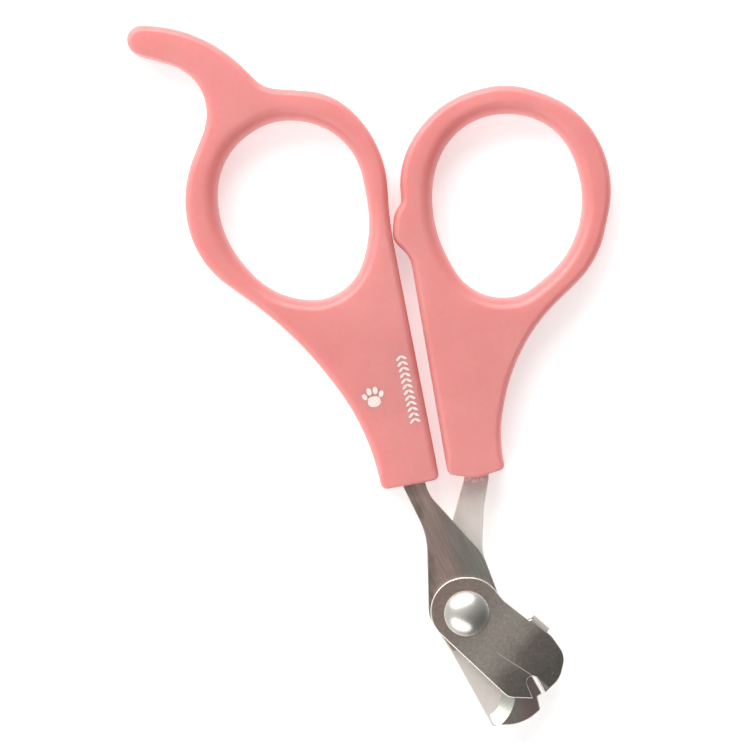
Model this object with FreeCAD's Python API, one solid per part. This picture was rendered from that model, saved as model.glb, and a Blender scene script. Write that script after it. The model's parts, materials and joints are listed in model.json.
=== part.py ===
import FreeCAD, Part
import math
import os

# Claw scissors for small pets. All sizes in millimetres.
#
# The scissors lie flat: +Z is the front, +Y runs from the jaws to the finger rings, +X is to the right.
# Everything is modelled round the pivot at (0, 0) and moved at the end, so that the origin is in the
# middle of the underside of the closed scissors.
#
# Two halves turn on one rivet. The right half is a fork: a back plate and a front catch plate with the
# same claw notch in both. The left half carries the hooked blade, which swings between the two plates.

V = FreeCAD.Vector

# ---- finger rings and handles
ring_distance = 65.0          # from the pivot to the middle of the finger holes, along Y
left_ring_offset = -0.2       # of the left finger hole's middle from that distance
right_ring_offset = 0.4       # of the right finger hole's middle
left_hole_side = -16.0        # side of the left finger hole that is nearer the other handle
right_hole_side = -5.6        # the same side of the right finger hole
hole_width = 24.0             # both finger holes
left_hole_length = 28.6
right_hole_length = 29.4
ring_band = 3.3               # thinnest plastic beside a finger hole
horn_reach = 14.4             # how far the finger rest stands out past the left ring
horn_width = 4.2              # across the tip of the finger rest
handle_thickness = 7.0
handle_root = 21.6            # from the pivot to where the plastic starts
outer_rounding = 0.8          # edges round the outside of a handle
root_corner = 0.9             # corners of a handle at its root, seen from the front
hole_rounding = 1.9           # edges round a finger hole
bump_rounding = 2.4           # nose of the stop bump
bump_height = 60.2            # where the stop bump meets the other handle, along Y from the pivot
stop_gap = 0.1                # between the stop bump and the left handle when closed

# ---- steel parts
lever_thickness = 1.5
catch_thickness = 1.0
running_gap = 0.05            # between faces that slide on each other
lever_edge = 0.12             # broken edges of the levers
catch_edge = 0.22             # rounded front edge of the catch plate, left by blanking
tang_length = 21.0            # how far a lever runs into its handle
tang_width = 4.6
tang_hole = 3.0               # holes that the plastic fills, to key the tang
tang_hole_pitch = 8.0
tang_hole_inset = 4.0         # from the end of the tang to the middle of the nearer hole
boss_radius = 5.8             # of the catch plate round the rivet
jaw_length = 18.0             # from the pivot to the tip of the jaw, along Y
head_radius = 15.8           # from the pivot to the far side of the catch plate's head, along X

# ---- claw notch, the same in the back plate and the catch plate
notch_distance = 15.1         # from the pivot to the middle of its round inner end
notch_place = -46.2           # direction of that point from the pivot, degrees
notch_direction = -64.0       # direction in which the notch opens, degrees
notch_width = 1.65
notch_flare = 0.074           # how far each side opens per millimetre of length

# ---- cutting edge of the hooked blade
hook_radius = 4.05
hook_middle = (1.55, -13.0)
bevel_width = 2.15
edge_land = 0.2               # steel left at the sharp edge

# ---- rivet and washers
rivet_radius = 2.0
rivet_clearance = 0.05
rivet_head_radius = 3.65
rivet_head_height = 1.9
tail_radius = 3.0
tail_height = 0.65
slip_washer_radius = 4.4
slip_washer_thickness = 0.33
slip_recess_depth = 0.3
slip_recess_clearance = 0.1
spring_washer_radius = 4.2
spring_washer_thickness = 0.3
spring_washer_dish = 0.15
burr_washer_radius = 3.9
burr_washer_thickness = 0.4

# ---- folded tab that ties the catch plate to the back plate
tab_start = (10.35, -0.75)    # where the fold begins, on the head's upper right edge
tab_direction = -41.0         # degrees
tab_length = 3.3
tab_thickness = 0.8
fold_rounding = 0.72          # outside of the fold

# ---- levels: the stack of plates is in the middle of the handles' thickness
stack_thickness = 2 * lever_thickness + running_gap
back_bottom = (handle_thickness - stack_thickness) / 2
back_top = back_bottom + lever_thickness
blade_bottom = back_top + running_gap
blade_top = blade_bottom + lever_thickness
catch_bottom = blade_top + running_gap
catch_top = catch_bottom + catch_thickness

# ---- middles of the finger holes
left_ring = (left_hole_side - hole_width / 2, ring_distance + left_ring_offset)
right_ring = (right_hole_side + hole_width / 2, ring_distance + right_ring_offset)


def polar(distance, degrees):
    """Point at a distance and direction from the pivot."""
    angle = math.radians(degrees)
    return distance * math.cos(angle), distance * math.sin(angle)


def outline(corners):
    """Closed wire of straight runs joined by tangent arcs, from corners (x, y, radius)."""
    count = len(corners)
    points = [V(x, y, 0) for x, y, radius in corners]
    ahead = [(points[(i + 1) % count] - points[i]).normalize() for i in range(count)]
    runs = [points[i].distanceToPoint(points[(i + 1) % count]) for i in range(count)]
    half_turns = [ahead[i - 1].getAngle(ahead[i]) / 2 for i in range(count)]
    cuts = [corners[i][2] * math.tan(half_turns[i]) for i in range(count)]
    # the arcs at the two ends of a run share its length
    shares = [min(1.0, 0.998 * runs[i] / max(cuts[i] + cuts[(i + 1) % count], 1e-6)) for i in range(count)]
    starts, stops, edges = [], [], []
    for i, point in enumerate(points):
        cut = cuts[i] * min(shares[i - 1], shares[i])
        starts.append(point - ahead[i - 1] * cut)
        stops.append(point + ahead[i] * cut)
        if cut > 1e-4:
            radius = cut / math.tan(half_turns[i])
            inward = (ahead[i] - ahead[i - 1]).normalize()
            middle = point + inward * (radius / math.cos(half_turns[i]) - radius)
            edges.append(Part.Arc(starts[i], middle, stops[i]).toShape())
    for i in range(count):
        start = starts[(i + 1) % count]
        if stops[i].distanceToPoint(start) > 1e-6:
            edges.append(Part.makeLine(stops[i], start))
    return Part.Wire(Part.__sortEdges__(edges))


def plate(corners, bottom, top):
    """Flat plate with a rounded outline between two levels."""
    face = Part.Face(outline(corners))
    face.translate(V(0, 0, bottom))
    return face.extrude(V(0, 0, top - bottom))


def flat_edges(body, level=None):
    """Edges of a plate that lie in its flat faces, or in the one at a level."""
    flat = [edge for edge in body.Edges if edge.BoundBox.ZLength < 1e-6]
    return [edge for edge in flat if level is None or abs(edge.BoundBox.ZMin - level) < 1e-6]


def disc(radius, bottom, top, x=0.0, y=0.0):
    return Part.makeCylinder(radius, top - bottom, V(x, y, bottom))


def revolve(profile):
    """Solid turned about the pivot axis from (radius, level) points."""
    points = [V(r, 0, z) for r, z in profile]
    face = Part.Face(Part.makePolygon(points + points[:1]))
    return face.revolve(V(0, 0, 0), V(0, 0, 1), 360)


# ---- handles

def beside_hole(ring, length, across, along, dx, dy, radius):
    """Corner placed from a finger hole: shares of its half width and half length, then millimetres."""
    return (ring[0] + across * hole_width / 2 + dx, ring[1] + along * length / 2 + dy, radius)


def finger_hole(ring, length, shape):
    """Egg-shaped hole from corners given as shares of the half width and half length."""
    half = hole_width / 2
    return [(ring[0] + x * half, ring[1] + y * length / 2, radius * half) for x, y, radius in shape]


left_hole_shape = [(-0.98, -0.31, 1.42), (-0.28, -0.97, 1.08), (0.76, -1.09, 0.70), (1.08, -0.27, 1.62),
                   (0.83, 0.90, 0.94), (-0.24, 1.02, 0.87), (-1.0, 0.59, 0.95)]
right_hole_shape = [(-1.01, -0.24, 1.70), (-0.48, -1.04, 0.74), (0.21, -1.0, 0.5), (1.01, -0.47, 1.32),
                    (1.01, 0.22, 1.36), (0.73, 0.97, 0.90), (-0.64, 1.01, 0.94), (-0.98, 0.34, 1.18)]


def left_handle_corners():
    ring, length = left_ring, left_hole_length
    return [
        beside_hole(ring, length, 0.3, 1.0, 2.9, ring_band + 0.9, 11.6),        # top of the ring
        beside_hole(ring, length, 1.0, 0.5, ring_band - 0.4, 3.45, 18.0),       # right of the ring
        beside_hole(ring, length, 1.0, -0.2, ring_band + 0.4, 0.4, 50.0),       # start of the inner edge
        (-4.3, handle_root - 0.2, root_corner),                                     # root, right
        (-13.6, handle_root - 1.9, root_corner),                                    # root, left
        (-15.5, handle_root + 7.6, 40.0),                                   # arm
        beside_hole(ring, length, 0.0, -1.0, 0.7, -2.6 - ring_band, 60.0),      # arm into the ring
        beside_hole(ring, length, -1.0, -0.5, 0.1 - ring_band, -1.6, 15.4),    # lower left of the ring
        beside_hole(ring, length, -1.0, 0.2, -2.6 - ring_band, -0.2, 18.4),     # left of the ring
        beside_hole(ring, length, -1.0, 0.8, 1.6 - ring_band, 1.7, 9.3),       # hollow under the finger rest
        beside_hole(ring, length, -1.0, 1.0, 2.0 - ring_band, 7.1, 8.4),
        beside_hole(ring, length, -1.0, 1.0, -horn_reach, 14.9 - horn_width, 2.5),
        beside_hole(ring, length, -1.0, 1.0, -horn_reach, 14.9, 2.3),       # tip of the finger rest
        beside_hole(ring, length, -1.0, 1.0, -2.6, 14.9, 23.0),
        beside_hole(ring, length, -0.4, 1.0, 0.4, ring_band + 1.6, 5.0),        # finger rest into the ring
    ]


def right_handle_corners(nose_x):
    ring, length = right_ring, right_hole_length
    return [
        (nose_x + 1.5, bump_height + 5.6, 0.8),                             # above the stop bump
        beside_hole(ring, length, -1.0, 0.5, -2.4 - ring_band, -0.3, 14.2),     # left of the ring
        beside_hole(ring, length, -0.6, 1.0, -3.4, ring_band - 1.3, 16.2),
        beside_hole(ring, length, 0.0, 1.0, 0.1, ring_band + 1.7, 14.3),        # top of the ring
        beside_hole(ring, length, 0.8, 1.0, 3.1, ring_band - 2.6, 15.6),
        beside_hole(ring, length, 1.0, 0.3, ring_band + 2.1, -0.6, 17.2),       # right of the ring
        beside_hole(ring, length, 1.0, -0.6, ring_band - 0.6, -0.3, 16.2),
        beside_hole(ring, length, 0.4, -1.0, -0.4, -1.2 - ring_band, 28.0),     # ring into the arm
        (6.9, handle_root + 16.4, 28.0),                                    # arm
        (5.1, handle_root + 7.2, 22.0),
        (6.2, handle_root + 1.5, root_corner),                                      # root, right
        (1.4, handle_root, 4.0),
        (-3.0, handle_root + 0.6, root_corner),                                     # root, left
        (nose_x + 2.9, bump_height - 3.2, 4.5),                             # below the stop bump
        (nose_x, bump_height - 0.4, bump_rounding),                         # nose of the stop bump
        (nose_x + 0.3, bump_height + 4.0, 4.0),
    ]


def moulded_handle(corners, hole_corners, tang):
    """Flat plastic handle with rounded edges, moulded round the tang of its lever."""
    body = plate(corners, 0, handle_thickness)
    body = body.makeFillet(outer_rounding, flat_edges(body))
    hole = plate(hole_corners, 0, handle_thickness)
    body = body.cut(hole)
    rim = [edge for edge in flat_edges(body)
           if hole.distToShape(Part.Vertex(edge.valueAt(edge.FirstParameter)))[0] < 1e-5]
    return body.makeFillet(hole_rounding, rim).cut(tang)


def left_handle(tang):
    hole = finger_hole(left_ring, left_hole_length, left_hole_shape)
    return moulded_handle(left_handle_corners(), hole, tang)


def right_handle(tang, other_handle):
    """Handle with the stop bump, whose nose ends one stop gap short of the other handle."""
    nose_x = -9.0
    for step in range(4):
        face = Part.Face(outline(right_handle_corners(nose_x)))
        face.translate(V(0, 0, handle_thickness / 2))
        nose_x -= face.distToShape(other_handle)[0] - stop_gap
    hole = finger_hole(right_ring, right_hole_length, right_hole_shape)
    return moulded_handle(right_handle_corners(nose_x), hole, tang)


# ---- levers and plates

def tang_holes(start, slope, bottom, top):
    """Two holes along a tang, which runs up from a start point with a sideways slope."""
    last = tang_length - tang_hole_inset
    holes = [disc(tang_hole / 2, bottom, top, start[0] + slope * up, start[1] + up)
             for up in (last - tang_hole_pitch, last)]
    return holes[0].fuse(holes[1])


def claw_notch(bottom, top):
    """Slot with a round inner end, flaring to its mouth."""
    x, y = polar(notch_distance, notch_place)
    out = V(*polar(1, notch_direction), 0)
    side = V(-out.y, out.x, 0)
    inner, reach = notch_width / 2, 8.0
    outer = inner + notch_flare * (reach + inner)
    corners = []
    for along, across, radius in ((-inner, inner, inner), (-inner, -inner, inner),
                                  (reach, -outer, 0), (reach, outer, 0)):
        point = V(x, y, 0) + out * along + side * across
        corners.append((point.x, point.y, radius))
    return plate(corners, bottom, top)


def by_tab(along, outward):
    """Point measured from the start of the tab, along its fold and out from it."""
    ax, ay = polar(along, tab_direction)
    ox, oy = polar(outward, tab_direction + 90)
    return tab_start[0] + ax + ox, tab_start[1] + ay + oy


def back_plate():
    """Lever of the right half: tang, shank and the rear plate with its jaw."""
    root = handle_root
    corners = [
        (2.7, root + tang_length, 1.5), (2.7 - tang_width, root + tang_length, 1.5),    # tang
        (-0.1, root + 0.6, 6.0), (-2.6, 13.6, 8.0),                                     # shank, left
        (-5.5, 4.5, 6.0), (-5.4, -2.0, 4.0),                                            # round the rivet
        (-2.4, -6.4, 2.0), (4.2, -jaw_length - 0.4, 0.6), (10.4, -15.8, 1.0),           # jaw
        (10.8, -13.2, 0.3), (11.6, -13.1, 2.0), (head_radius - 1.4, -10.4, 4.0),        # behind the head
        (head_radius - 0.5, -6.8, 3.0), (*by_tab(tab_length + 0.3, 0), 0.3),
        (*by_tab(0, 0), 0.2), (*by_tab(-0.5, -0.6), 0.5),
        (4.8, 2.7, 3.0), (2.5, 10.0, 10.0), (2.8, 17.0, 10.0), (3.6, root, 6.0),        # shank, right
    ]
    body = plate(corners, back_bottom, back_top).cut(claw_notch(back_bottom, back_top))
    body = body.makeChamfer(lever_edge, flat_edges(body))
    body = body.cut(tang_holes((1.7, root), -0.06, back_bottom, back_top))
    return body.cut(disc(rivet_radius + rivet_clearance, back_bottom, back_top))


def hooked_blade():
    """Lever of the left half: tang, shank and the blade with a hollow, bevelled cutting edge."""
    root = handle_root
    corners = [
        (-12.2, root + tang_length, 1.5), (-12.2 - tang_width, root + tang_length - 0.6, 1.5),  # tang
        (-10.3, root - 1.2, 8.0), (-6.4, 12.5, 12.0), (-6.1, -0.6, 4.0),                # shank, left
        (-2.2, -6.2, 0.3), (-1.1, -5.7, 0.8), (3.2, -9.2, 1.0), (6.0, -11.5, 1.0),      # under the plate
        (3.7, -16.2, 0.5), (4.3, -jaw_length + 0.15, 0.5),                              # end of the hook
        (9.0, -jaw_length + 0.05, 7.2), (11.8, -15.4, 0.4), (11.3, -13.35, 0.2),        # nose
        (12.05, -12.84, 0.13), (10.4, -9.92, 0.3), (9.6, -9.88, 0.5),                   # beside the notch
        (7.4, -7.8, 4.0), (5.2, -2.0, 4.0), (5.1, 3.0, 5.0),                            # spine
        (2.6, 9.6, 9.0), (-6.4, 19.3, 7.0), (-6.7, root, 6.0),                          # shank, right
    ]
    body = plate(corners, blade_bottom, blade_top)
    body = body.makeChamfer(lever_edge, flat_edges(body))
    x, y = hook_middle
    body = body.cut(disc(hook_radius, blade_bottom, blade_top, x, y))
    bevel = Part.makeCone(hook_radius, hook_radius + bevel_width, lever_thickness - edge_land,
                          V(x, y, blade_bottom + edge_land))
    body = body.cut(bevel)
    body = body.cut(tang_holes((-9.6, root), -0.22, blade_bottom, blade_top))
    for bottom in (blade_bottom, blade_top - slip_recess_depth):
        body = body.cut(disc(slip_washer_radius + slip_recess_clearance, bottom, bottom + slip_recess_depth))
    return body.cut(disc(rivet_radius + rivet_clearance, blade_bottom, blade_top))


def folded_tab():
    """Tab bent down along the head's edge, rounded over the outside of its fold."""
    points = [V(*by_tab(along, outward), back_bottom) for along, outward in
              ((0, 0), (tab_length, 0), (tab_length, tab_thickness), (0, tab_thickness))]
    tab = Part.Face(Part.makePolygon(points + points[:1])).extrude(V(0, 0, catch_top - back_bottom))
    crest = V(*by_tab(tab_length / 2, tab_thickness), catch_top)
    fold = [edge for edge in tab.Edges if edge.distToShape(Part.Vertex(crest))[0] < 1e-6]
    return tab.makeFillet(fold_rounding, fold)


def front_catch_plate():
    """Front plate with the claw notch and a tab folded back over the edge of the back plate."""
    r = boss_radius
    corners = [
        (-r, r, 5.6), (-r, -1.85, 5.2), (6.6, -13.45, 2.2), (11.6, -13.6, 2.4),         # lower left edge
        (head_radius - 0.9, -10.4, 4.0), (head_radius, -6.7, 3.2),                      # far side of the head
        (*by_tab(tab_length + 1.0, 0), 1.5), (*by_tab(0, 0), 0.3), (*by_tab(0, -0.5), 0.3),
        (r, 2.2, 4.0), (2.9, r, 5.2),
    ]
    body = plate(corners, catch_bottom, catch_top).cut(claw_notch(catch_bottom, catch_top))
    body = body.makeFillet(catch_edge, flat_edges(body, catch_top))
    body = body.fuse(folded_tab()).removeSplitter()
    return body.cut(disc(rivet_radius + rivet_clearance, catch_bottom, catch_top))


# ---- rivet and washers

def rivet_levels():
    """Undersides of the spring washer and the burr washer."""
    spring_bottom = back_bottom - spring_washer_thickness - spring_washer_dish
    return spring_bottom, spring_bottom - burr_washer_thickness


def dome(radius, height, level, direction):
    """Shallow round head standing on a level, up or down."""
    ball = (radius ** 2 + height ** 2) / (2 * height)
    sphere = Part.makeSphere(ball, V(0, 0, level + direction * (height - ball)))
    far = level + direction * height
    return sphere.common(disc(radius, min(level, far), max(level, far)))


def pivot_rivet():
    burr_bottom = rivet_levels()[1]
    shank = disc(rivet_radius, burr_bottom, catch_top)
    head = dome(rivet_head_radius, rivet_head_height, catch_top, 1)
    tail = dome(tail_radius, tail_height, burr_bottom, -1)
    return shank.fuse(head).fuse(tail).removeSplitter()


def flat_washer(radius, bottom, top):
    return disc(radius, bottom, top).cut(disc(rivet_radius + rivet_clearance, bottom, top))


def slip_washer(bottom):
    return flat_washer(slip_washer_radius, bottom, bottom + slip_washer_thickness)


def spring_washer():
    """Dished washer: its rim bears on the back plate, its middle on the burr washer."""
    inner, outer, rise = rivet_radius + rivet_clearance, spring_washer_radius, spring_washer_dish
    low, thick = rivet_levels()[0], spring_washer_thickness
    return revolve([(inner, low), (outer, low + rise), (outer, low + rise + thick), (inner, low + thick)])


def build():
    blade, back = hooked_blade(), back_plate()
    left = left_handle(blade)
    spring_bottom, burr_bottom = rivet_levels()
    return {
        "left_handle": left,
        "right_handle": right_handle(back, left),
        "hooked_blade": blade,
        "back_plate": back,
        "front_catch_plate": front_catch_plate(),
        "pivot_rivet": pivot_rivet(),
        "front_slip_washer": slip_washer(catch_bottom - slip_washer_thickness),
        "rear_slip_washer": slip_washer(back_top),
        "spring_washer": spring_washer(),
        "burr_washer": flat_washer(burr_washer_radius, burr_bottom, spring_bottom),
    }


def export(parts):
    """Move the origin to the middle of the underside and write one file per sub-part."""
    os.makedirs("parts", exist_ok=True)
    box = Part.makeCompound(list(parts.values())).optimalBoundingBox(False)
    shift = V(-box.Center.x, -box.Center.y, -box.ZMin)
    for name, shape in parts.items():
        shape.translate(shift)
        shape.exportStep("parts/" + name + ".step")
    print("pivot at x=%.3f y=%.3f, size %.2f x %.2f x %.2f mm"
          % (shift.x, shift.y, box.XLength, box.YLength, box.ZLength))
    for name, shape in parts.items():
        print("%-18s solids %d  valid %s  volume %.1f"
              % (name, len(shape.Solids), shape.isValid(), shape.Volume))


export(build())
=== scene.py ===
import json
import math

import bpy
import numpy as np
from bpy.props import FloatProperty, IntProperty, PointerProperty, StringProperty
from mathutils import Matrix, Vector
from mathutils.geometry import delaunay_2d_cdt


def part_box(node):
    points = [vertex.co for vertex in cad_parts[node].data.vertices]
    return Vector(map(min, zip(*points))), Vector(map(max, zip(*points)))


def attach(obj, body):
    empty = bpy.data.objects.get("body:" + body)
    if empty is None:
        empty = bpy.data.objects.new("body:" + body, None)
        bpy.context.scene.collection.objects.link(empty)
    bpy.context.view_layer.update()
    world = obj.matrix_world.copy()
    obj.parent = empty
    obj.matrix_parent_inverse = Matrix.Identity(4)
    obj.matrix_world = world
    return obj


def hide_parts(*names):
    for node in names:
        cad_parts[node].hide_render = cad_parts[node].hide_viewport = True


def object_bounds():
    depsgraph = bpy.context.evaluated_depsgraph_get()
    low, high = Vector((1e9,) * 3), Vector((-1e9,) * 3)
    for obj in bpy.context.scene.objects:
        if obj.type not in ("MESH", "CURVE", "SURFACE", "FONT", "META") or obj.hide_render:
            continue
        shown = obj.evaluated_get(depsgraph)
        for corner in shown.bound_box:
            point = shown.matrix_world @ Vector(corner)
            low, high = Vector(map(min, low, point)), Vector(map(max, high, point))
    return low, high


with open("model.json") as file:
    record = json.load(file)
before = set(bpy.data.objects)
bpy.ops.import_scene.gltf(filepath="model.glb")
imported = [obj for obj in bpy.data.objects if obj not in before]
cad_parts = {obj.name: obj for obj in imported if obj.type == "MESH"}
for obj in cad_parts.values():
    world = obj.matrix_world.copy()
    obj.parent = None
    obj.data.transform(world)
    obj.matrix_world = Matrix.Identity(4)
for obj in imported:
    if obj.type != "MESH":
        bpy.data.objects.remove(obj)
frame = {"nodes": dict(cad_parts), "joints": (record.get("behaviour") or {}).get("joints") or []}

bl_info = {
    "name": "Claw scissors finish",
    "version": (1, 0, 0),
    "blender": (4, 5, 0),
    "location": "View3D > Sidebar > Scissors",
    "description": "Moulded handles, ground steel, domed rivet and studio stage for claw scissors",
    "category": "Object",
}

MM = 0.001
CAD_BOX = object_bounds()
PIVOT = np.array(frame["joints"][0]["pos_m"][:2])

# Places on the scissors, in millimetres from the pivot, seen from the front.
# the catch plate's painted reflection runs between the next two places
BOSS_END = (-4.4, 3.7)
HEAD_END = (13.4, -9.0)
SCORE_START = (4.4, -6.0)
SCORE_END = (10.8, -10.1)
GROUND_CORNER = ((10.8, -10.2), (13.4, -12.4))
FOLD_LINE = ((10.6, -0.6), (13.2, -2.7))
# the blade's painted reflection runs across its arm between these two places
BLADE_SIDES = ((-6.3, 6.0), (4.6, 8.6))
BLADE_GLINT = ((-0.6, 12.4), (4.6, 3.6))
STAR_MIDDLE = (1.2, 8.1)
NOSE_START = (5.5, -14.5)
NOSE_END = (10.8, -15.0)
PRINT_MIDDLE = (-14.9, 34.4)
BORDER_START = (-8.2, 30.4)
BORDER_END = (-10.6, 41.3)
VIEW_MIDDLE = (-14.67, 38.11)
# the lever's painted reflection runs from its top at the plastic to the next place, where it is
# palest
LEVER_TOP = (-1.5, 22.0)
LEVER_PAINTED_BRIGHT = (1.5, 12.0)
BLADE_RUN = 116.0                  # the way the blade's arm runs, in degrees from X
LEVER_RUN = 86.0                   # the same for the other lever

# Handles, in millimetres.
SECTION_SHARE = 0.27               # of the thickness, where the hole's rounding ends
OUTLINE_STEP = 0.35
OUTER_SOFTNESS = 0.32
HOLE_SOFTNESS = 1.0
ROOT_ROUNDING = 0.45
ROOT_BLEND = (1.2, 3.5)            # from the root: where the rounding starts and ends its growth
ROUNDING_RISE = 1.15               # height of the outer rounding over its width
RIDGE_REACH = 0.12                 # half the width of the parting ridge

# Spots of flash: place across and along, and length, in millimetres.
FLASH_SPOTS = ((0.2, 21.45, 1.3), (1.5, 21.25, 1.5), (2.6, 21.5, 0.9))
FLASH_WIDTH = 0.75
FLASH_LEAN = 8.0                   # degrees
FLASH_LEVELS = (-0.01, 0.06)       # from the top of the lever

# Spots of the paw: middle, width and length in millimetres, lean in degrees, squareness.
PAW_SPOTS = (
    ((0, -0.55), 2.1, 1.7, 0.0, 2.4),
    ((-1.35, 0.45), 0.75, 1.1, 24.0, 2.0),
    ((-0.5, 1.15), 0.8, 1.2, 7.0, 2.0),
    ((0.5, 1.15), 0.8, 1.2, -7.0, 2.0),
    ((1.35, 0.45), 0.75, 1.1, -24.0, 2.0),
)
LEAF_SIZE = (0.42, 1.05)
LEAF_OFFSET = 0.42
LEAF_LEAN = 38                     # degrees
INK_SINK = 0.005

# Stage, in metres: each light's place is from the middle of the scissors.
ROOM_SIDE = (-0.70, 0.65, 0.1)     # towards the brighter side of the room
ROOM_TURN = 0.85                   # share of the way to each side where the change ends
KEY_PLACE, KEY_SIZE = (-0.17, 0.46, 0.38), (1.05, 0.42)
FILL_PLACE, FILL_SIZE = (-0.18, -0.42, 0.30), (0.75, 0.34)
FLOOR_HALF = 1.5
FLOOR_DROP = 0.02 * MM
SENSOR_WIDTH = 36.0                # millimetres


def at_pivot(point):
    """Place given in millimetres from the pivot, in metres in the frame."""
    return PIVOT + np.array(point) * MM


def height_of(node):
    """Lowest and highest level of a CAD node."""
    low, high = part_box(node)
    return low.z, high.z


# ---------------------------------------------------------------- shapes

def mesh_object(name, points, faces, smooth=True):
    """Object at the origin from an (n, 3) array of points and a list of faces."""
    mesh = bpy.data.meshes.new(name)
    mesh.from_pydata(np.asarray(points).tolist(), [], faces)
    mesh.polygons.foreach_set("use_smooth", np.full(len(mesh.polygons), smooth))
    mesh.update()
    thing = bpy.data.objects.new(name, mesh)
    bpy.context.scene.collection.objects.link(thing)
    return thing


def grid_faces(rows, columns, start=0, turned=False):
    """Quads of a grid that is closed along its rows.

    Point (i, j) has the index start + i * columns + j.
    """
    i, j = np.meshgrid(np.arange(rows), np.arange(columns - 1), indexing="ij")
    ahead = (i + 1) % rows
    here, there = i * columns + j, ahead * columns + j
    quads = np.stack([here, there, there + 1, here + 1], -1)
    quads = quads.reshape(-1, 4) + start
    return (quads[:, ::-1] if turned else quads).tolist()


def node_triangles(node):
    """Welded points (n, 3) and triangles (m, 3) of a CAD node."""
    mesh = frame["nodes"][node].data
    points = np.empty(len(mesh.vertices) * 3)
    mesh.vertices.foreach_get("co", points)
    mesh.calc_loop_triangles()
    corners = np.empty(len(mesh.loop_triangles) * 3, int)
    mesh.loop_triangles.foreach_get("vertices", corners)
    micron = 0.001 * MM
    keys = np.round(points.reshape(-1, 3) / micron).astype(int)
    welded, index = np.unique(keys, axis=0, return_inverse=True)
    return welded * micron, index.reshape(-1)[corners].reshape(-1, 3)


def section_loops(node, level):
    """Closed outlines in which a level plane cuts a CAD node, longest first.

    Each triangle that crosses the plane gives a short straight cut, and cuts are joined end to end.
    """
    points, triangles = node_triangles(node)
    above = points[triangles][:, :, 2] > level
    crossed = triangles[above.any(1) & ~above.all(1)]
    ends = []
    for a, b in ((0, 1), (1, 2), (2, 0)):
        first, second = points[crossed[:, a]], points[crossed[:, b]]
        cuts = (first[:, 2] > level) != (second[:, 2] > level)
        pair = np.sort(crossed[:, [a, b]], axis=1)
        share = np.divide(level - first[:, 2], second[:, 2] - first[:, 2],
                          where=cuts, out=np.zeros(len(cuts)))
        ends.append((cuts, pair, first[:, :2] + share[:, None] * (second - first)[:, :2]))
    place, neighbours = {}, {}
    for row in range(len(crossed)):
        keys = []
        for cuts, pair, at in ends:
            if cuts[row]:
                key = tuple(pair[row])
                place[key] = at[row]
                keys.append(key)
        neighbours.setdefault(keys[0], []).append(keys[1])
        neighbours.setdefault(keys[1], []).append(keys[0])
    loops = []
    while neighbours:
        start = here = next(iter(neighbours))
        chain, previous = [], None
        while here is not None:
            chain.append(place[here])
            onward = [key for key in neighbours.pop(here) if key != previous and key in neighbours]
            previous, here = here, (onward[0] if onward else None)
        loops.append(np.array(chain))
    return sorted(loops, key=lambda loop: -np.ptp(loop, axis=0).sum())


def even_loop(loop, step, softness):
    """Closed outline resampled at an even step, run anticlockwise and softened.

    The softening damps each Fourier wave of the outline by a Gaussian of the given width.
    """
    closed = np.vstack([loop, loop[:1]])
    along = np.concatenate([[0], np.cumsum(np.hypot(*np.diff(closed, axis=0).T))])
    count = int(along[-1] / step)
    where = np.linspace(0, along[-1], count, endpoint=False)
    x, y = (np.interp(where, along, closed[:, side]) for side in (0, 1))
    z = x + 1j * y
    waves = np.fft.fftfreq(count, along[-1] / count) * 2 * np.pi
    z = np.fft.ifft(np.fft.fft(z) * np.exp(-0.5 * (waves * softness) ** 2))
    area = np.sum(z.real * np.roll(z.imag, -1) - np.roll(z.real, -1) * z.imag)
    if area < 0:
        z = z[::-1]
    return np.column_stack([z.real, z.imag])


def outward(loop):
    """Unit normals of an anticlockwise outline, pointing out of it."""
    tangent = np.roll(loop, -1, axis=0) - np.roll(loop, 1, axis=0)
    tangent /= np.linalg.norm(tangent, axis=1)[:, None]
    return np.column_stack([tangent[:, 1], -tangent[:, 0]])


def wall_profile(width, height, thickness, ridge):
    """Inset and level across a moulded edge, from the bottom face to the top face.

    Each half is a quarter ellipse of the given width and height that runs on into a straight wall.
    A low ridge, a raised cosine, stands where the two halves of the mould met, and its crest is the
    outline itself.
    """
    half = thickness / 2
    turn = np.linspace(0, np.pi / 2, 15)
    bend_inset = ridge + width[:, None] * (1 - np.sin(turn))[None, :]
    bend_level = height[:, None] * (1 - np.cos(turn))[None, :]
    rise = np.linspace(0, 1, 9)[1:]
    wall_level = height[:, None] + (half - height[:, None]) * rise[None, :]
    near = np.clip((half - wall_level) / (RIDGE_REACH * MM), 0, 1)
    wall_inset = ridge * 0.5 * (1 - np.cos(np.pi * near))
    inset = np.hstack([bend_inset, wall_inset])
    level = np.hstack([bend_level, wall_level])
    return np.hstack([inset, inset[:, -2::-1]]), np.hstack([level, thickness - level[:, -2::-1]])


def swept_edge(loop, side, width, height, thickness, ridge):
    """Edge profile carried round an outline.

    Side is +1 where the plastic is inside the outline, -1 round a hole.
    """
    inset, level = wall_profile(width, height, thickness, ridge)
    plan = loop[:, None, :] - side * outward(loop)[:, None, :] * inset[:, :, None]
    return np.dstack([plan, level]).reshape(-1, 3), inset.shape[1]


def between_loops(outer, inner):
    """Triangles that fill the flat face between an outline and the hole in it."""
    flat = [Vector(p) for p in np.vstack([outer, inner])]
    count, whole = len(outer), len(outer) + len(inner)
    edges = [(i, (i + 1) % count) for i in range(count)]
    edges += [(count + i, count + (i + 1) % (whole - count)) for i in range(whole - count)]
    triangles = delaunay_2d_cdt(flat, edges, [], 1, 1e-9)[2]
    # a triangle with all three corners on the inner outline lies in the hole
    return [t for t in triangles if min(t) < count]


def smooth_step(low, high, value):
    """0 up to low, 1 from high, and 3 s squared less 2 s cubed of the share s between them."""
    share = np.clip((value - low) / (high - low), 0, 1)
    return share * share * (3 - 2 * share)


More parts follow.
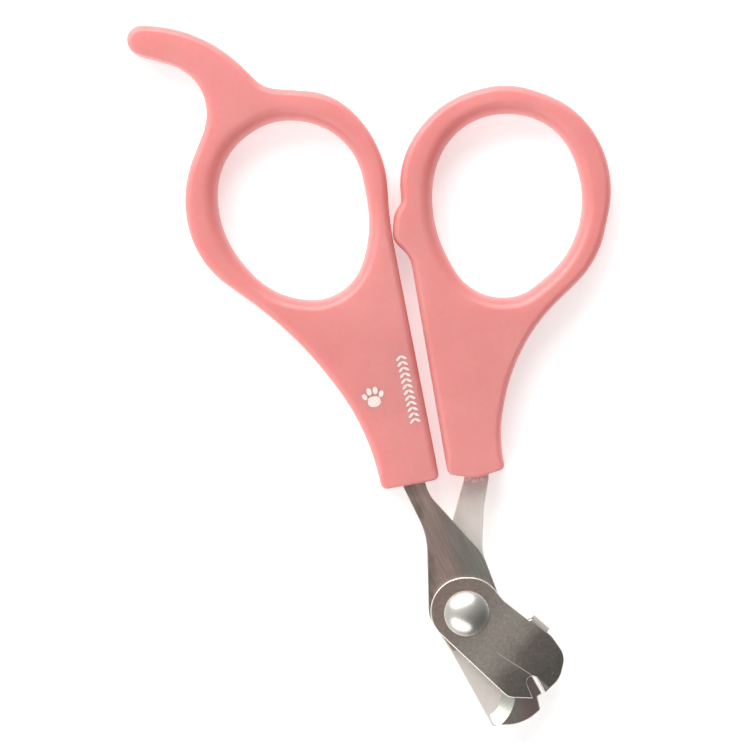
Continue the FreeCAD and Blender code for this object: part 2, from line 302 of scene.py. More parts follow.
def moulded_handle(name, node, sizes, thin_side):
    """Handle made of two swept edges, round the outside and the finger hole, and two flat faces.

    The outlines are the CAD handle's, from a level where its walls are upright. The outer edge is
    rounded less at the root. The hole's rounding is least on thin_side, an angle in degrees, and
    grows by a cosine to the side opposite.
    """
    low, high = height_of(node)
    thickness = high - low
    outer_cad, hole_cad = section_loops(node, low + thickness * SECTION_SHARE)[:2]
    outer = even_loop(outer_cad, OUTLINE_STEP * MM, OUTER_SOFTNESS * MM)
    hole = even_loop(hole_cad, OUTLINE_STEP * MM, HOLE_SOFTNESS * MM)

    root, root_width = outer[:, 1].min(), ROOT_ROUNDING * MM
    from_root = smooth_step(root + ROOT_BLEND[0] * MM, root + ROOT_BLEND[1] * MM, outer[:, 1])
    outer_width = root_width + (sizes.edge_width - root_width) * from_root
    outer_height = outer_width * ROUNDING_RISE
    towards = hole - (hole.max(0) + hole.min(0)) / 2
    angle = np.arctan2(towards[:, 1], towards[:, 0]) - math.radians(thin_side)
    hole_width = sizes.hole_width - sizes.hole_width_change * np.cos(angle)
    hole_height = np.full(len(hole), sizes.hole_height)

    ridge = sizes.parting_ridge
    outer_points, columns = swept_edge(outer, 1, outer_width, outer_height, thickness, ridge)
    hole_points, _ = swept_edge(hole, -1, hole_width, hole_height, thickness, ridge)
    points = np.vstack([outer_points, hole_points])
    points[:, 2] += low
    split = len(outer_points)
    faces = grid_faces(len(outer), columns) + grid_faces(len(hole), columns, split, turned=True)

    outer_row = np.arange(len(outer)) * columns
    hole_row = split + np.arange(len(hole)) * columns
    for column, upward in ((0, False), (columns - 1, True)):
        ring = np.concatenate([outer_row + column, hole_row + column])
        cut = between_loops(points[outer_row + column, :2], points[hole_row + column, :2])
        faces += [[int(ring[i]) for i in (t if upward else t[::-1])] for t in cut]
    return mesh_object(name, points, faces)


def turned_solid(name, radii, levels, around, middle):
    """Surface of revolution: radii and levels carried round an upright axis, with closed ends."""
    angle = np.arange(around) * 2 * np.pi / around
    radii, levels = np.asarray(radii), np.asarray(levels)
    x = middle[0] + np.cos(angle)[:, None] * radii[None, :]
    y = middle[1] + np.sin(angle)[:, None] * radii[None, :]
    z = np.broadcast_to(levels, x.shape)
    points = np.dstack([x, y, z]).reshape(-1, 3)
    columns = len(radii)
    faces = grid_faces(around, columns)
    start, end = len(points), len(points) + 1
    poles = [[middle[0], middle[1], levels[0]], [middle[0], middle[1], levels[-1]]]
    row = np.arange(around) * columns
    ahead = np.roll(row, -1)
    faces += [[start, int(b), int(a)] for a, b in zip(row, ahead)]
    faces += [[end, int(a), int(b)] for a, b in zip(row + columns - 1, ahead + columns - 1)]
    return mesh_object(name, np.vstack([points, poles]), faces)


def rivet_profile(sizes):
    """Radii and levels of the rivet, from the middle of its peened tail to the top of its dome.

    With r the share of the full radius, the tail's depth falls off as 1 less r to the power 2.2,
    and the dome's height as 1 less r squared, to the power 0.92. The dome ends in a small quarter
    round where it meets the plate.
    """
    low, high = height_of("pivot_rivet")
    plate_top = height_of("front_catch_plate")[1]
    washer_low = height_of("burr_washer")[0]
    head = (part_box("pivot_rivet")[1].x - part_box("pivot_rivet")[0].x) / 2
    rim = 0.25 * MM
    tail_power, dome_power = 2.2, 0.92
    share = np.sin(np.linspace(0.02, np.pi / 2, 16))
    tail_radii = sizes.tail_radius * share
    tail_levels = washer_low - (washer_low - low) * (1 - share ** tail_power)
    turn = np.linspace(0, np.pi / 2, 6)
    rim_radii = head - rim + rim * np.sin(turn)
    rim_levels = plate_top + rim * (1 - np.cos(turn))
    dome_share = np.cos(np.linspace(0, np.pi / 2 - 0.03, 40))[1:]
    dome_radii = head * dome_share
    dome_base = plate_top + rim
    dome_levels = dome_base + (high - dome_base) * (1 - dome_share ** 2) ** dome_power
    radii = np.concatenate([tail_radii, [sizes.shank_radius] * 2, rim_radii, dome_radii])
    levels = np.concatenate([tail_levels, [washer_low, plate_top], rim_levels, dome_levels])
    return radii, levels


def blob(middle, across, along, turn, levels, squareness=2.0, count=28):
    """Spot with a superellipse outline, upright sides and a bevelled flat top, as points and faces.

    The outline's radius is the sum of |cos| and |sin|, each to the power of the squareness, to the
    power of minus one over the squareness.
    """
    angle = np.arange(count) * 2 * np.pi / count
    c, s = np.cos(angle), np.sin(angle)
    size = (np.abs(c) ** squareness + np.abs(s) ** squareness) ** (-1 / squareness)
    flat = np.column_stack([across / 2 * size * c, along / 2 * size * s])
    a = math.radians(turn)
    flat = flat @ np.array([[math.cos(a), math.sin(a)], [-math.sin(a), math.cos(a)]])
    rings = []
    bevel_level = levels[0] * 0.3 + levels[1] * 0.7
    for share, level in ((1.0, levels[0]), (1.0, bevel_level), (0.86, levels[1])):
        rings.append(np.column_stack([flat * share + middle, np.full(count, level)]))
    points = np.stack(rings, 1).reshape(-1, 3)
    faces = grid_faces(count, 3)
    faces.append((np.arange(count) * 3 + 2).tolist())
    faces.append((np.arange(count) * 3)[::-1].tolist())
    return points, faces


def joined(parts):
    """One list of points and faces from several."""
    points, faces, start = [], [], 0
    for some_points, some_faces in parts:
        points.append(some_points)
        faces += [[start + i for i in face] for face in some_faces]
        start += len(some_points)
    return np.vstack(points), faces


# ---------------------------------------------------------------- materials

def linear(hex_colour):
    """sRGB hex colour as a linear RGBA tuple."""
    parts = [int(hex_colour[i:i + 2], 16) / 255 for i in (1, 3, 5)]
    return (*(c / 12.92 if c <= 0.04045 else ((c + 0.055) / 1.055) ** 2.4 for c in parts), 1.0)


def add(tree, kind, links=None, **settings):
    """Adds a node of a kind, sets its properties, and sets or links its inputs."""
    made = tree.nodes.new("ShaderNode" + kind)
    for key, value in settings.items():
        setattr(made, key, value)
    for key, value in (links or {}).items():
        if isinstance(value, bpy.types.NodeSocket):
            tree.links.new(value, made.inputs[key])
        else:
            made.inputs[key].default_value = value
    return made


def blank(name):
    """New material with its node tree, shader and object coordinates."""
    material = bpy.data.materials.new(name)
    material.use_nodes = True
    tree = material.node_tree
    shader = tree.nodes["Principled BSDF"]
    coords = add(tree, "TexCoord").outputs["Object"]
    return material, tree, shader, coords


def centred(tree, coords, middle, turn=0.0, scale=(1.0, 1.0, 1.0)):
    """Object coordinates moved to a place on the scissors, turned about Z and then stretched."""
    x, y = at_pivot(middle)
    moved = add(tree, "Mapping", {"Vector": coords, "Location": (-x, -y, 0)})
    turned = add(tree, "Mapping", {"Vector": moved.outputs[0],
                                   "Rotation": (0, 0, -math.radians(turn))})
    return add(tree, "Mapping", {"Vector": turned.outputs[0], "Scale": scale}).outputs[0]


def travel(tree, coords, start, end, waver=0.0):
    """0 to 1 from one place on the scissors to another, wavering a little on the way."""
    turn = math.degrees(math.atan2(end[1] - start[1], end[0] - start[0]))
    along = add(tree, "SeparateXYZ", {"Vector": centred(tree, coords, start, turn)}).outputs["X"]
    share = add(tree, "Math", {0: along, 1: 1 / (math.dist(start, end) * MM)}, operation="MULTIPLY")
    noise = add(tree, "TexNoise", {"Vector": coords, "Scale": 1 / (3.5 * MM), "Detail": 3.0})
    lean = add(tree, "MapRange", {"Value": noise.outputs["Fac"], "From Min": 0.25, "From Max": 0.75,
                                  "To Min": -waver, "To Max": waver})
    both = add(tree, "Math", {0: share.outputs[0], 1: lean.outputs["Result"]}, operation="ADD")
    return both.outputs[0]


def ramp(tree, value, stops):
    """Colour ramp with stops of (position, hex colour) or (position, grey number)."""
    made = add(tree, "ValToRGB", {"Fac": value})
    elements = made.color_ramp.elements
    while len(elements) < len(stops):
        elements.new(0.5)
    for element, (position, colour) in zip(elements, stops):
        element.position = position
        element.color = linear(colour) if isinstance(colour, str) else (colour, colour, colour, 1.0)
    return made.outputs["Color"]


def moulded_abs(colours):
    """Injection-moulded ABS: a satin skin with fine spark-eroded grain and soft flow clouding."""
    material, tree, shader, coords = blank("abs_injection_moulded_satin")
    cloud = add(tree, "TexNoise", {"Vector": coords, "Scale": 1 / (14 * MM), "Detail": 3.0,
                                   "Roughness": 0.55})
    fine = add(tree, "TexNoise", {"Vector": coords, "Scale": 1 / (0.9 * MM), "Detail": 2.0})
    both = add(tree, "Math", {0: fine.outputs["Fac"], 1: 0.25, 2: cloud.outputs["Fac"]},
               operation="MULTIPLY_ADD")
    spread = add(tree, "MapRange", {"Value": both.outputs[0], "From Min": 0.40, "From Max": 0.85})
    tones = [(0.0, colours.plastic_deep), (0.5, colours.plastic), (1.0, colours.plastic_pale)]
    colour = ramp(tree, spread.outputs["Result"], tones)
    tree.links.new(colour, shader.inputs["Base Color"])
    shader.inputs["IOR"].default_value = 1.53
    shader.inputs["Specular IOR Level"].default_value = 0.75
    shader.inputs["Subsurface Weight"].default_value = 0.8
    shader.inputs["Subsurface Radius"].default_value = (1.0, 0.16, 0.12)
    shader.inputs["Subsurface Scale"].default_value = 4.5 * MM
    wear = add(tree, "MapRange", {"Value": cloud.outputs["Fac"], "To Min": 0.32, "To Max": 0.42})
    tree.links.new(wear.outputs["Result"], shader.inputs["Roughness"])
    # grain 0.12 mm across, drawn at 0.25 mm so that it shows
    grain = add(tree, "TexNoise", {"Vector": coords, "Scale": 1 / (0.25 * MM), "Detail": 2.0})
    sink = add(tree, "TexNoise", {"Vector": coords, "Scale": 1 / (9 * MM), "Detail": 1.0})
    low = add(tree, "Bump", {"Height": sink.outputs["Fac"], "Strength": 0.25, "Distance": 0.6 * MM})
    high = add(tree, "Bump", {"Height": grain.outputs["Fac"], "Strength": 0.12,
                              "Distance": 0.03 * MM, "Normal": low.outputs["Normal"]})
    tree.links.new(high.outputs["Normal"], shader.inputs["Normal"])
    return material


def flash_film():
    """ABS squeezed into a film a few hundredths thick, pale because the steel shows through it."""
    material, tree, shader, coords = blank("abs_flash_film")
    torn = add(tree, "TexNoise", {"Vector": coords, "Scale": 1 / (0.5 * MM), "Detail": 3.0})
    colour = ramp(tree, torn.outputs["Fac"], [(0.35, "#E9B5B0"), (0.65, "#F7DCD8")])
    tree.links.new(colour, shader.inputs["Base Color"])
    shader.inputs["Roughness"].default_value = 0.4
    shader.inputs["IOR"].default_value = 1.53
    return material


def white_ink():
    """Pad-printed ink: a thin matt coat of warm white with tiny pinholes."""
    material, tree, shader, coords = blank("ink_pad_printed_white")
    # pinholes under 0.1 mm across, drawn at 0.22 mm so that they show
    holes = add(tree, "TexNoise", {"Vector": coords, "Scale": 1 / (0.22 * MM), "Detail": 3.0})
    colour = ramp(tree, holes.outputs["Fac"],
                  [(0.30, "#F3B9B4"), (0.46, "#FBEAE3"), (0.8, "#FFF6F0")])
    tree.links.new(colour, shader.inputs["Base Color"])
    shader.inputs["Roughness"].default_value = 0.62
    shader.inputs["IOR"].default_value = 1.5
    return material


def painted_highlight_mask(tree, low, high):
    """1 on faces turned away from the plate's flat faces, 0 on the flat faces themselves."""
    # this mask places painted highlight on the edges and bevels of the metals
    normal = add(tree, "NewGeometry").outputs["True Normal"]
    parts = add(tree, "SeparateXYZ", {"Vector": normal})
    upright = add(tree, "Math", {0: parts.outputs["Z"]}, operation="ABSOLUTE")
    mask = add(tree, "MapRange", {"Value": upright.outputs[0], "From Min": high, "From Max": low})
    return mask.outputs["Result"]


def line_mask(tree, coords, start, end, reach, fade=0.35):
    """1 along a straight line, falling to 0 at reach millimetres to each side and at its ends."""
    length = math.dist(start, end)
    turn = math.degrees(math.atan2(end[1] - start[1], end[0] - start[0]))
    middle = ((start[0] + end[0]) / 2, (start[1] + end[1]) / 2)
    local = centred(tree, coords, middle, turn)
    parts = add(tree, "SeparateXYZ", {"Vector": local})
    across = add(tree, "Math", {0: parts.outputs["Y"]}, operation="ABSOLUTE")
    along = add(tree, "Math", {0: parts.outputs["X"]}, operation="ABSOLUTE")
    on = add(tree, "MapRange", {"Value": across.outputs[0], "From Min": reach * MM,
                                "From Max": 0.3 * reach * MM})
    held = add(tree, "MapRange", {"Value": along.outputs[0], "From Min": length / 2 * MM,
                                  "From Max": length / 2 * (1 - fade) * MM})
    both = add(tree, "Math", {0: on.outputs["Result"], 1: held.outputs["Result"]},
               operation="MULTIPLY")
    return both.outputs[0]


def blend_colours(tree, factor, first, second, mode="MIX"):
    """Second colour laid over the first by a factor; each is a socket or a hex colour."""
    made = add(tree, "Mix", {"Factor": factor}, data_type="RGBA", blend_type=mode)
    for socket, value in ((6, first), (7, second)):
        if isinstance(value, bpy.types.NodeSocket):
            tree.links.new(value, made.inputs[socket])
        else:
            made.inputs[socket].default_value = linear(value)
    return made.outputs[2]


def bare_metal(tree, shader, colour, relief, rough, strength, depth):
    """Bare metal whose roughness and bump both follow one pattern."""
    tree.links.new(colour, shader.inputs["Base Color"])
    shader.inputs["Metallic"].default_value = 1.0
    spread = add(tree, "MapRange", {"Value": relief, "To Min": rough[0], "To Max": rough[1]})
    tree.links.new(spread.outputs["Result"], shader.inputs["Roughness"])
    bump = add(tree, "Bump", {"Height": relief, "Strength": strength, "Distance": depth})
    tree.links.new(bump.outputs["Normal"], shader.inputs["Normal"])


def tumbled_steel():
    """Stainless sheet, blanked and tumbled: a warm satin face, with painted highlight on its rolled
    edges.

    A painted reflection makes it paler beside the rivet and darker towards the head. Small bright
    nicks cover it, one fine scored line runs to the claw notch, the corner beside the notch is
    ground and painted lighter for the light its slope catches, and a painted highlight runs along
    the tab's fold.
    """
    material, tree, shader, coords = blank("stainless_steel_tumbled")
    # tumbling leaves pits of about 0.1 mm, drawn at 0.5 mm so that they show
    speck = add(tree, "TexNoise", {"Vector": coords, "Scale": 1 / (0.5 * MM), "Detail": 4.0,
                                   "Roughness": 0.7})
    # painted reflection: paler beside the rivet, darker towards the head
    along = travel(tree, coords, BOSS_END, HEAD_END, 0.06)
    tone_with_painted_reflection = ramp(tree, along, [(0.0, "#B29A90"), (0.30, "#B0A59B"), (0.55, "#C2B8AD"),
                              (0.68, "#AFA59C"), (0.80, "#89817A"), (1.0, "#76726B")])
    dots = ramp(tree, speck.outputs["Fac"], [(0.30, 0.44), (0.5, 0.50), (0.72, 0.60)])
    face = blend_colours(tree, 1.0, tone_with_painted_reflection, dots, "OVERLAY")
    peak = add(tree, "TexVoronoi", {"Vector": coords, "Scale": 1 / (1.5 * MM), "Randomness": 1.0})
    nick = add(tree, "MapRange", {"Value": peak.outputs["Distance"], "From Min": 0.13,
                                  "From Max": 0.04, "To Max": 0.35})
    face = blend_colours(tree, nick.outputs["Result"], face, "#C9C2BA")
    for ends, reach, fade, colour in (((SCORE_START, SCORE_END), 0.10, 0.25, "#E2DAD0"),
                                      # ground corner: a ground facet, and its lighter tone is partly
                                      # painted light from the facet's slope
                                      (GROUND_CORNER, 0.42, 0.3, "#B9AFA6"),
                                      # the fold's brightness is painted highlight
                                      (FOLD_LINE, 0.75, 0.1, "#F6F1EB")):
        face = blend_colours(tree, line_mask(tree, coords, *ends, reach, fade), face, colour)
    # painted highlight on the rolled edges and the other tilted faces
    colour = blend_colours(tree, painted_highlight_mask(tree, 0.90, 0.99), face, "#EFE8E1")
    bare_metal(tree, shader, colour, speck.outputs["Fac"], (0.30, 0.46), 0.15, 0.012 * MM)
    return material


def ground_blade_steel():
    """Blade steel, ground lengthwise and darkened by hardening, with a honed bevel that painted
    highlight makes bright.

    A painted reflection changes its tone across the arm. A small star-shaped scratch and one long
    painted glint break up its arm, and its nose is browner.
    """
    material, tree, shader, coords = blank("blade_steel_ground_hardened")
    # grinding lines under 0.1 mm apart, drawn at 0.32 mm so that they show
    lengthwise = centred(tree, coords, (0, 0), BLADE_RUN, (0.05, 1.0, 1.0))
    streak = add(tree, "TexNoise", {"Vector": lengthwise, "Scale": 1 / (0.32 * MM), "Detail": 4.0,
                                    "Roughness": 0.6})
    # painted reflection: the tone changes across the arm, with a pale band near its left side
    across = travel(tree, coords, *BLADE_SIDES, 0.12)
    tone_with_painted_reflection = ramp(tree, across, [(0.0, "#9A8B84"), (0.16, "#C6ACA1"), (0.45, "#B0A098"),
                               (0.62, "#A8A199"), (0.86, "#ADA9A0"), (1.0, "#A09D96")])
    lines = ramp(tree, streak.outputs["Fac"], [(0.25, 0.41), (0.5, 0.50), (0.75, 0.60)])
    face = blend_colours(tree, 0.9, tone_with_painted_reflection, lines, "OVERLAY")
    face = blend_colours(tree, line_mask(tree, coords, *BLADE_GLINT, 0.30, 0.5), face, "#AAA49C")
    far = add(tree, "VectorMath", {0: centred(tree, coords, STAR_MIDDLE)}, operation="LENGTH")
    near = add(tree, "MapRange", {"Value": far.outputs["Value"], "From Min": 1.1 * MM,
                                  "From Max": 0.1 * MM})
    rays = add(tree, "TexNoise", {"Vector": coords, "Scale": 1 / (0.35 * MM), "Detail": 2.0})
    mark = add(tree, "Math", {0: near.outputs["Result"], 1: rays.outputs["Fac"]},
               operation="MULTIPLY")
    face = blend_colours(tree, mark.outputs[0], face, "#E4DED8")
    nose = travel(tree, coords, NOSE_START, NOSE_END, 0.05)
    face = blend_colours(tree, nose, face, "#927E7A")
    # painted highlight on the honed bevel and the other tilted faces
    colour = blend_colours(tree, painted_highlight_mask(tree, 0.93, 0.995), face, "#C6C8BC")
    bare_metal(tree, shader, colour, streak.outputs["Fac"], (0.28, 0.44), 0.12, 0.01 * MM)
    return material


def satin_lever_steel():
    """Lever steel, barrel-polished: a pale satin with faint rolling lines, and a painted reflection
    of the handle that makes it pinker and darker at the plastic.
    """
    material, tree, shader, coords = blank("lever_steel_barrel_polished")
    # rolling lines under 0.1 mm apart, drawn at 0.45 mm so that they show
    lengthwise = centred(tree, coords, (0, 0), LEVER_RUN, (0.05, 1.0, 1.0))
    streak = add(tree, "TexNoise", {"Vector": lengthwise, "Scale": 1 / (0.45 * MM), "Detail": 4.0})
    # painted reflection of the handle: pink and darker at the plastic, palest towards the pivot
    along = travel(tree, coords, LEVER_TOP, LEVER_PAINTED_BRIGHT, 0.15)
    tone_with_painted_reflection = ramp(tree, along, [(0.0, "#D3BFBC"), (0.35, "#F0E4DD"), (1.0, "#FBF3EC")])
    lines = ramp(tree, streak.outputs["Fac"], [(0.25, 0.45), (0.5, 0.50), (0.75, 0.55)])
    colour = blend_colours(tree, 0.8, tone_with_painted_reflection, lines, "OVERLAY")
    bare_metal(tree, shader, colour, streak.outputs["Fac"], (0.50, 0.65), 0.10, 0.01 * MM)
    return material


def turned_metal(name, tints, rough, ring_width):
    """Turned or stamped round metal with fine rings about the pivot.

    Real rings are under 0.1 mm apart. They are drawn ring_width millimetres apart, to show.
    """
    material, tree, shader, coords = blank(name)
    local = centred(tree, coords, (0, 0))
    flat = add(tree, "VectorMath", {0: local, 1: (1, 1, 0)}, operation="MULTIPLY")
    radius = add(tree, "VectorMath", {0: flat.outputs[0]}, operation="LENGTH")
    ring_at = add(tree, "CombineXYZ", {"X": radius.outputs["Value"]})
    rings = add(tree, "TexNoise", {"Vector": ring_at.outputs[0], "Scale": 1 / (ring_width * MM),
                                   "Detail": 3.0})
    cloud = add(tree, "TexNoise", {"Vector": coords, "Scale": 1 / (2.2 * MM), "Detail": 3.0})
    colour = ramp(tree, cloud.outputs["Fac"], [(0.35, tints[0]), (0.65, tints[1])])
    bare_metal(tree, shader, colour, rings.outputs["Fac"], rough, 0.06, 0.01 * MM)
    return material


def stage_paper(glow):
    """Pale seamless paper for the floor, lit from below so that shadows stay faint."""
    material, tree, shader, coords = blank("paper_seamless_white")
    fibre = add(tree, "TexNoise", {"Vector": coords, "Scale": 1 / (2 * MM), "Detail": 3.0})
    colour = ramp(tree, fibre.outputs["Fac"], [(0.3, "#F6F6F6"), (0.7, "#F9F9F9")])
    tree.links.new(colour, shader.inputs["Base Color"])
    shader.inputs["Roughness"].default_value = 0.9
    shader.inputs["Emission Color"].default_value = linear("#FFFFFF")
    shader.inputs["Emission Strength"].default_value = glow
    return material


def give(thing, material):
    """Puts one material on a piece."""
    thing.data.materials.clear()
    thing.data.materials.append(material)
    return thing


# ---------------------------------------------------------------- settings

class HandleSizes(bpy.types.PropertyGroup):
    """Roundings and colours of the moulded handles"""
    edge_width: FloatProperty(
        name="Outer rounding", description="Width of the outer edges' rounding",
        default=1.15 * MM, min=0.2 * MM, max=1.5 * MM, precision=5, subtype="DISTANCE")
    hole_width: FloatProperty(
        name="Hole rounding", description="Middle width of the hole edges' rounding",
        default=2.2 * MM, min=0.5 * MM, max=3.0 * MM, precision=5, subtype="DISTANCE")
    hole_width_change: FloatProperty(
        name="Hole rounding change", description="How much that width varies to each side",
        default=0.35 * MM, min=0.0, max=1.0 * MM, precision=5, subtype="DISTANCE")
    hole_height: FloatProperty(
        name="Hole rounding height", description="Height of the hole edges' rounding",
        default=2.9 * MM, min=0.5 * MM, max=3.3 * MM, precision=5, subtype="DISTANCE")
    parting_ridge: FloatProperty(
        name="Parting line", description="Height of the mould's parting line",
        default=0.04 * MM, min=0.0, max=0.2 * MM, precision=5, subtype="DISTANCE")
    plastic: StringProperty(
        name="Plastic", description="Main colour, sRGB hex", default="#E89794")
    plastic_deep: StringProperty(
        name="Plastic, deep", description="Darker clouding, sRGB hex", default="#E4918E")
    plastic_pale: StringProperty(
        name="Plastic, pale", description="Paler clouding, sRGB hex", default="#EC9D9A")


class PrintSizes(bpy.types.PropertyGroup):
    """Sizes of the printed mark"""
    coat: FloatProperty(
        name="Coat", description="Thickness of the printed ink",
        default=0.03 * MM, min=0.01 * MM, max=0.1 * MM, precision=5, subtype="DISTANCE")
    tilt: FloatProperty(
        name="Tilt", description="Turn of the paw in the plane of the handle",
        default=math.radians(12.0), subtype="ANGLE")
    leaves: IntProperty(
        name="Leaves", description="Pairs of leaves in the printed border",
        default=12, min=3, max=30)


class RivetSizes(bpy.types.PropertyGroup):
    """Sizes of the pivot rivet below its dome"""
    shank_radius: FloatProperty(
        name="Shank radius", description="Radius of the rivet's shank",
        default=2.0 * MM, precision=5, subtype="DISTANCE")
    tail_radius: FloatProperty(
        name="Tail radius", description="Radius of the peened tail",
        default=3.0 * MM, precision=5, subtype="DISTANCE")


class StageSizes(bpy.types.PropertyGroup):
    """Camera, lights and floor"""
    view_width: FloatProperty(
        name="View width", description="Width that the camera sees",
        default=120.0 * MM, subtype="DISTANCE")
    view_level: FloatProperty(
        name="View level", description="Level above the floor at which it sees that width",
        default=5.0 * MM, subtype="DISTANCE")
    lens: FloatProperty(
        name="Lens", description="Focal length", default=200.0, unit="CAMERA")
    key: FloatProperty(
        name="Key light", description="Power of the key light", default=4.0, unit="POWER")
    fill: FloatProperty(
        name="Fill light", description="Power of the fill light", default=1.2, unit="POWER")
    sky: FloatProperty(
        name="Room, bright side", description="Strength of the room's light on its bright side",
        default=0.60, min=0.0, max=1.0, subtype="FACTOR")
    sky_dim: FloatProperty(
        name="Room, dim side", description="Strength of the room's light on its dim side",
        default=0.14, min=0.0, max=1.0, subtype="FACTOR")
    glow: FloatProperty(
        name="Floor glow", description="Strength of the light that comes through the floor",
        default=0.42, min=0.0, max=1.0, subtype="FACTOR")


# ---------------------------------------------------------------- operators

class SCISSORS_OT_handles(bpy.types.Operator):
    """Build both moulded handles"""
    bl_idname = "scissors.handles"
    bl_label = "Moulded handles"

    def execute(self, context):
        sizes = context.scene.scissors_handles
        plastic = moulded_abs(sizes)
        for node, body, thin_side in (("left_handle", "left_half", -10.0),
                                      ("right_handle", "right_half", 20.0)):
            handle = moulded_handle("moulded_" + node, node, sizes, thin_side)
            give(handle, plastic)
            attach(handle, body)
            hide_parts(node)
        return {"FINISHED"}


class SCISSORS_OT_flash(bpy.types.Operator):
    """Build the thin film of plastic that the mould left on the right lever"""
    bl_idname = "scissors.flash"
    bl_label = "Moulding flash"

    def execute(self, context):
        top = height_of("back_plate")[1]
        levels = [top + step * MM for step in FLASH_LEVELS]
        points, faces = joined([blob(at_pivot((x, y)), length * MM, FLASH_WIDTH * MM, FLASH_LEAN,
                                     levels) for x, y, length in FLASH_SPOTS])
        film = give(mesh_object("moulding_flash", points, faces), flash_film())
        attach(film, "right_half")
        return {"FINISHED"}


class SCISSORS_OT_print(bpy.types.Operator):
    """Build the generic printed mark on the left handle: a paw and a leafy border"""
    bl_idname = "scissors.print"
    bl_label = "Printed mark"

    def execute(self, context):
        sizes = context.scene.scissors_print
        top = height_of("left_handle")[1]
        levels = (top - INK_SINK * MM, top + sizes.coat)
        middle, turn = at_pivot(PRINT_MIDDLE), sizes.tilt
        parts = []
        for (x, y), across, along, lean, squareness in PAW_SPOTS:
            spot = middle + MM * np.array([x * math.cos(turn) - y * math.sin(turn),
                                           x * math.sin(turn) + y * math.cos(turn)])
            parts.append(blob(spot, across * MM, along * MM, math.degrees(turn) + lean, levels,
                              squareness))
        start, end = at_pivot(BORDER_START), at_pivot(BORDER_END)
        lean = math.degrees(math.atan2(*(end - start)[::-1]))
        side = np.array([-math.sin(math.radians(lean)), math.cos(math.radians(lean))])
        across, along = LEAF_SIZE
        for i in range(sizes.leaves):
            spot = start + (end - start) * (i + 0.5) / sizes.leaves
            for way in (1, -1):
                parts.append(blob(spot + side * way * LEAF_OFFSET * MM, across * MM, along * MM,
                                  lean + way * LEAF_LEAN, levels))
        points, faces = joined(parts)
        mark = give(mesh_object("printed_mark", points, faces, smooth=False), white_ink())
        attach(mark, "left_half")
        return {"FINISHED"}


class SCISSORS_OT_rivet(bpy.types.Operator):
    """Build the domed pivot rivet"""
    bl_idname = "scissors.rivet"
    bl_label = "Pivot rivet"

    def execute(self, context):
        radii, levels = rivet_profile(context.scene.scissors_rivet)
        rivet = turned_solid("domed_rivet", radii, levels, 96, PIVOT)
        # steel, turned, nickel-plated and polished: a bright warm white with a soft mirror
        give(rivet, turned_metal("nickel_plated_steel_polished", ("#E4DED6", "#EEEAE4"),
                                 (0.24, 0.32), 0.15))
        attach(rivet, "right_half")
        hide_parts("pivot_rivet")
        return {"FINISHED"}


class SCISSORS_OT_steel(bpy.types.Operator):
    """Give the steel plates and washers their finishes"""
    bl_idname = "scissors.steel"
    bl_label = "Steel finishes"

    def execute(self, context):
        nodes = frame["nodes"]
        give(nodes["front_catch_plate"], tumbled_steel())
        give(nodes["hooked_blade"], ground_blade_steel())
        give(nodes["back_plate"], satin_lever_steel())
        # phosphor bronze strip, rolled: brown-gold and satin
        bronze = turned_metal("phosphor_bronze_rolled", ("#B0804A", "#C49560"), (0.28, 0.4), 0.2)
        # spring steel strip, rolled: a plain mid grey, satin
        spring = turned_metal("spring_steel_rolled", ("#A9A6A2", "#BDB9B4"), (0.25, 0.38), 0.18)
        # mild steel, stamped and nickel-plated: pale and a little brighter
        stamped = turned_metal("mild_steel_stamped_nickel", ("#C6C1BB", "#D6D2CC"),
                               (0.2, 0.32), 0.2)
        for name in ("front_slip_washer", "rear_slip_washer"):
            give(nodes[name], bronze)
        give(nodes["spring_washer"], spring)
        give(nodes["burr_washer"], stamped)
        return {"FINISHED"}


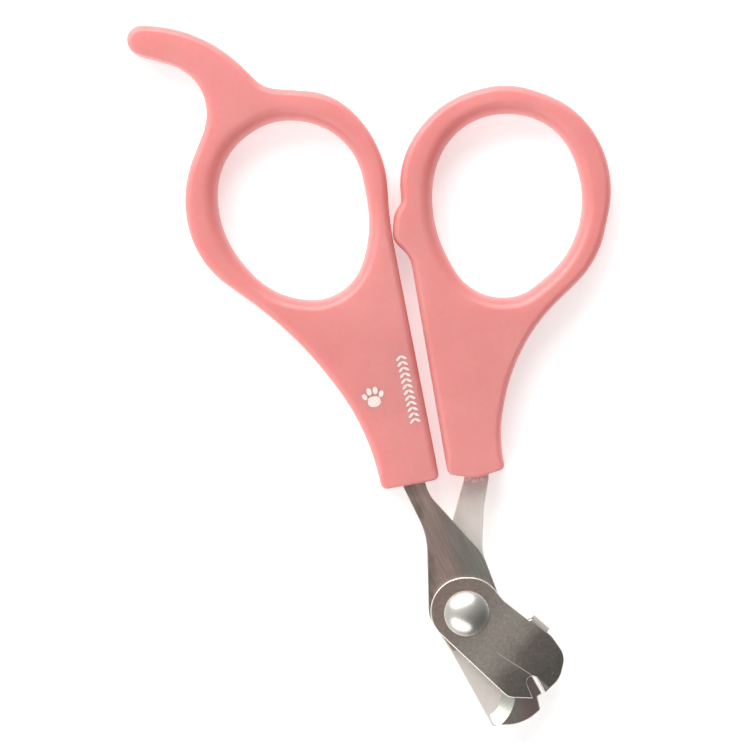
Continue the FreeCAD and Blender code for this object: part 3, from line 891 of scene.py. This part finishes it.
class SCISSORS_OT_stage(bpy.types.Operator):
    """Set the floor, the lights and the camera"""
    bl_idname = "scissors.stage"
    bl_label = "Studio stage"

    def execute(self, context):
        scene, sizes = context.scene, context.scene.scissors_stage
        low, high = CAD_BOX
        corners = [(x * FLOOR_HALF, y * FLOOR_HALF, low.z - FLOOR_DROP)
                   for x, y in ((-1, -1), (1, -1), (1, 1), (-1, 1))]
        floor = give(mesh_object("stage_floor", corners, [[0, 1, 2, 3]], smooth=False),
                     stage_paper(sizes.glow))

        world = bpy.data.worlds.new("room")
        world.use_nodes = True
        tree = world.node_tree
        towards = add(tree, "TexCoord").outputs["Object"]
        side = add(tree, "VectorMath", {0: towards, 1: Vector(ROOM_SIDE).normalized()},
                   operation="DOT_PRODUCT")
        strength = add(tree, "MapRange", {"Value": side.outputs["Value"], "From Min": -ROOM_TURN,
                                          "From Max": ROOM_TURN, "To Min": sizes.sky_dim,
                                          "To Max": sizes.sky},
                       interpolation_type="SMOOTHSTEP")
        background = tree.nodes["Background"]
        tree.links.new(strength.outputs["Result"], background.inputs["Strength"])
        background.inputs["Color"].default_value = linear("#FFFFFF")
        scene.world = world

        middle = (low + high) / 2
        for name, place, size, power in (("key_light", KEY_PLACE, KEY_SIZE, sizes.key),
                                         ("fill_light", FILL_PLACE, FILL_SIZE, sizes.fill)):
            lamp = bpy.data.lights.new(name, "AREA")
            lamp.shape, lamp.energy = "ELLIPSE", power
            lamp.size, lamp.size_y = size
            holder = bpy.data.objects.new(name, lamp)
            holder.location = middle + Vector(place)
            holder.rotation_mode = "QUATERNION"
            holder.rotation_quaternion = (-Vector(place)).to_track_quat("-Z", "Y")
            scene.collection.objects.link(holder)

        camera = bpy.data.cameras.new("camera")
        camera.lens, camera.sensor_width = sizes.lens, SENSOR_WIDTH
        reach = sizes.view_width * camera.lens / camera.sensor_width
        camera.clip_start, camera.clip_end = 0.01, 10.0
        viewer = bpy.data.objects.new("camera", camera)
        viewer.location = (*at_pivot(VIEW_MIDDLE), sizes.view_level + reach)
        scene.collection.objects.link(viewer)
        scene.camera = viewer
        scene.view_settings.view_transform = "Standard"
        return {"FINISHED"}


STEPS = (SCISSORS_OT_handles, SCISSORS_OT_flash, SCISSORS_OT_print, SCISSORS_OT_rivet,
         SCISSORS_OT_steel, SCISSORS_OT_stage)
GROUPS = (("scissors_handles", HandleSizes), ("scissors_print", PrintSizes),
          ("scissors_rivet", RivetSizes), ("scissors_stage", StageSizes))


class VIEW3D_PT_scissors(bpy.types.Panel):
    """Sizes and build steps of the claw scissors"""
    bl_label = "Claw scissors"
    bl_idname = "VIEW3D_PT_scissors"
    bl_space_type = "VIEW_3D"
    bl_region_type = "UI"
    bl_category = "Scissors"

    def draw(self, context):
        for key, group in GROUPS:
            box = self.layout.box()
            for field in group.__annotations__:
                box.prop(getattr(context.scene, key), field)
        for step in STEPS:
            self.layout.operator(step.bl_idname)


def register():
    """Adds the settings, the operators and the panel to Blender."""
    for key, group in GROUPS:
        bpy.utils.register_class(group)
        setattr(bpy.types.Scene, key, PointerProperty(type=group))
    for step in (*STEPS, VIEW3D_PT_scissors):
        bpy.utils.register_class(step)


def unregister():
    """Takes them out again, in the opposite order."""
    for step in (VIEW3D_PT_scissors, *reversed(STEPS)):
        bpy.utils.unregister_class(step)
    for key, group in reversed(GROUPS):
        delattr(bpy.types.Scene, key)
        bpy.utils.unregister_class(group)


def main():
    """Builds every piece and the stage."""
    register()
    for step in STEPS:
        group, name = step.bl_idname.split(".")
        getattr(getattr(bpy.ops, group), name)()


if __name__ == "__main__":
    main()
